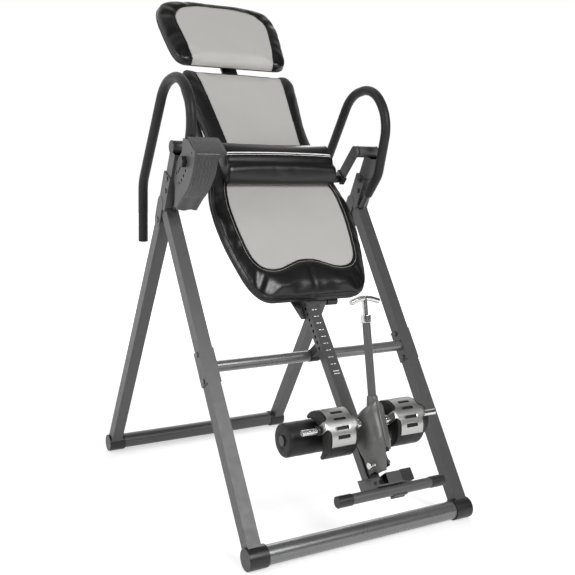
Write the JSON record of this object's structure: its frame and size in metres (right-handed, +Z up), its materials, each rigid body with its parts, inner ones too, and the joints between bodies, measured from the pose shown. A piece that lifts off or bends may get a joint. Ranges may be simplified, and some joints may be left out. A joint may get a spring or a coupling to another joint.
{
  "type": "inversion table",
  "caption": "Folding A-frame exercise table that tilts the user head-down, with padded back, lumbar pillow, heel rollers and lever-closed ankle cups.",
  "frame": {"origin": "on the floor under the middle of the whole object's box", "axes": "+X across the table to the right as seen from the front, +Y from the foot end to the head end, +Z up"},
  "size_m": [0.72, 1.2734, 1.6021],
  "materials": {
    "frame_grey": "grey textured powder coat",
    "front_tube_silver": "silver semi-gloss enamel",
    "black_metal": "black semi-gloss enamel",
    "zinc": "satin",
    "chrome": "bright chrome",
    "cup_steel": "brushed stainless",
    "black_plastic": "moulded black",
    "olive_plastic": "moulded olive grey",
    "foam_black": "closed-cell foam",
    "rubber_black": "moulded rubber",
    "vinyl_black": "black vinyl-coated fabric over foam, with a light grey panel",
    "guard_fabric": "dark grey woven webbing",
    "board_black": "black-faced plywood"
  },
  "bodies": {
    "front_frame": {"front_base_tube": "front_tube_silver", "front_foot_caps": "black_plastic", "left_front_leg": "frame_grey", "right_front_leg": "frame_grey", "front_crossbar": "front_tube_silver", "crossbar_saddles": "frame_grey", "crossbar_bolts": "zinc", "shaft_rest_buffer": "rubber_black", "left_post_socket": "frame_grey", "right_post_socket": "frame_grey", "left_pivot_post": "frame_grey", "right_pivot_post": "frame_grey", "socket_bolts": "zinc", "pivot_tube_caps": "black_plastic", "pivot_bushes": "black_plastic", "left_handlebar_tube": "black_metal", "right_handlebar_tube": "black_metal", "left_handlebar_grip": "foam_black", "right_handlebar_grip": "foam_black", "angle_stop_plate": "frame_grey", "finger_guard": "guard_fabric", "hinge_bolts": "zinc"},
    "rear_frame": {"rear_base_tube": "frame_grey", "rear_foot_caps": "black_plastic", "left_rear_leg": "frame_grey", "right_rear_leg": "frame_grey"},
    "table": {"left_pivot_arm": "frame_grey", "right_pivot_arm": "frame_grey", "table_frame": "black_metal", "arm_bolts": "zinc", "shaft_sleeve": "frame_grey", "backrest_board": "board_black", "backrest_pad": "vinyl_black"},
    "pillow": {"lumbar_pillow": "vinyl_black"},
    "headrest": {"headrest_pad": "vinyl_black", "headrest_bracket": "black_metal"},
    "leg_unit": {"main_shaft": "frame_grey", "foot_bracket": "frame_grey", "foot_screws": "zinc", "foot_rubber_block": "rubber_black", "foot_bar": "frame_grey", "foot_bar_caps": "black_plastic", "roller_axle": "black_metal", "lever_bracket": "black_metal", "lever_pivot_bolt": "chrome"},
    "left_roller": {"left_heel_roller": "foam_black"},
    "right_roller": {"right_heel_roller": "foam_black"},
    "ankle_lever": {"lever_tube": "frame_grey", "lever_collar": "chrome", "left_lever_shell": "olive_plastic", "right_lever_shell": "olive_plastic", "cup_rod": "chrome", "rod_end_collars": "black_plastic"},
    "left_cup": {"left_ankle_cup_shell": "cup_steel", "left_ankle_cup_foam": "foam_black"},
    "right_cup": {"right_ankle_cup_shell": "cup_steel", "right_ankle_cup_foam": "foam_black"},
    "lever_handle": {"t_handle": "chrome"},
    "stop_pin": {"angle_stop_knob": "black_plastic"},
    "length_pin": {"height_selector_knob": "black_plastic"}
  },
  "joints": [
    {"name": "table_tilt", "type": "hinge", "parent": "front_frame", "child": "table", "pos_m": [0, -0.03935, 1.065], "axis": [-1, 0, 0], "range_deg": [0, 91.5]},
    {"name": "rear_frame_fold", "type": "hinge", "parent": "front_frame", "child": "rear_frame", "pos_m": [0, 0.07165, 0.856], "axis": [-1, 0, 0], "range_deg": [0, 58]},
    {"name": "headrest_height", "type": "slide", "parent": "table", "child": "headrest", "axis": [0, 0.5948, 0.8039], "range_m": [0, 0.075]},
    {"name": "pillow_position", "type": "slide", "parent": "table", "child": "pillow", "axis": [0, 0.5948, 0.8039], "range_m": [-0.05, 0.05]},
    {"name": "leg_length", "type": "slide", "parent": "table", "child": "leg_unit", "axis": [0, 0.5948, 0.8039], "range_m": [0, 0.18]},
    {"name": "left_roller_spin", "type": "hinge", "parent": "leg_unit", "child": "left_roller", "pos_m": [-0.132, -0.45122, 0.29992], "axis": [1, 0, 0], "continuous": true},
    {"name": "right_roller_spin", "type": "hinge", "parent": "leg_unit", "child": "right_roller", "pos_m": [0.132, -0.45122, 0.29992], "axis": [1, 0, 0], "continuous": true},
    {"name": "ankle_lever_open", "type": "hinge", "parent": "leg_unit", "child": "ankle_lever", "pos_m": [0, -0.58104, 0.24049], "axis": [1, 0, 0], "range_deg": [0, 20]},
    {"name": "left_cup_swivel", "type": "hinge", "parent": "ankle_lever", "child": "left_cup", "pos_m": [-0.108, -0.52922, 0.33774], "axis": [1, 0, 0], "range_deg": [0, 8]},
    {"name": "right_cup_swivel", "type": "hinge", "parent": "ankle_lever", "child": "right_cup", "pos_m": [0.108, -0.52922, 0.33774], "axis": [1, 0, 0], "range_deg": [0, 8]},
    {"name": "lever_handle_pull", "type": "slide", "parent": "ankle_lever", "child": "lever_handle", "axis": [0, 0.1564, 0.9877], "range_m": [0, 0.012], "stiffness_N_per_m": 800},
    {"name": "stop_pin_pull", "type": "slide", "parent": "front_frame", "child": "stop_pin", "axis": [-1, 0, 0], "range_m": [0, 0.02], "stiffness_N_per_m": 600},
    {"name": "length_pin_pull", "type": "slide", "parent": "table", "child": "length_pin", "axis": [1, 0, 0], "range_m": [0, 0.012], "stiffness_N_per_m": 800}
  ]
}
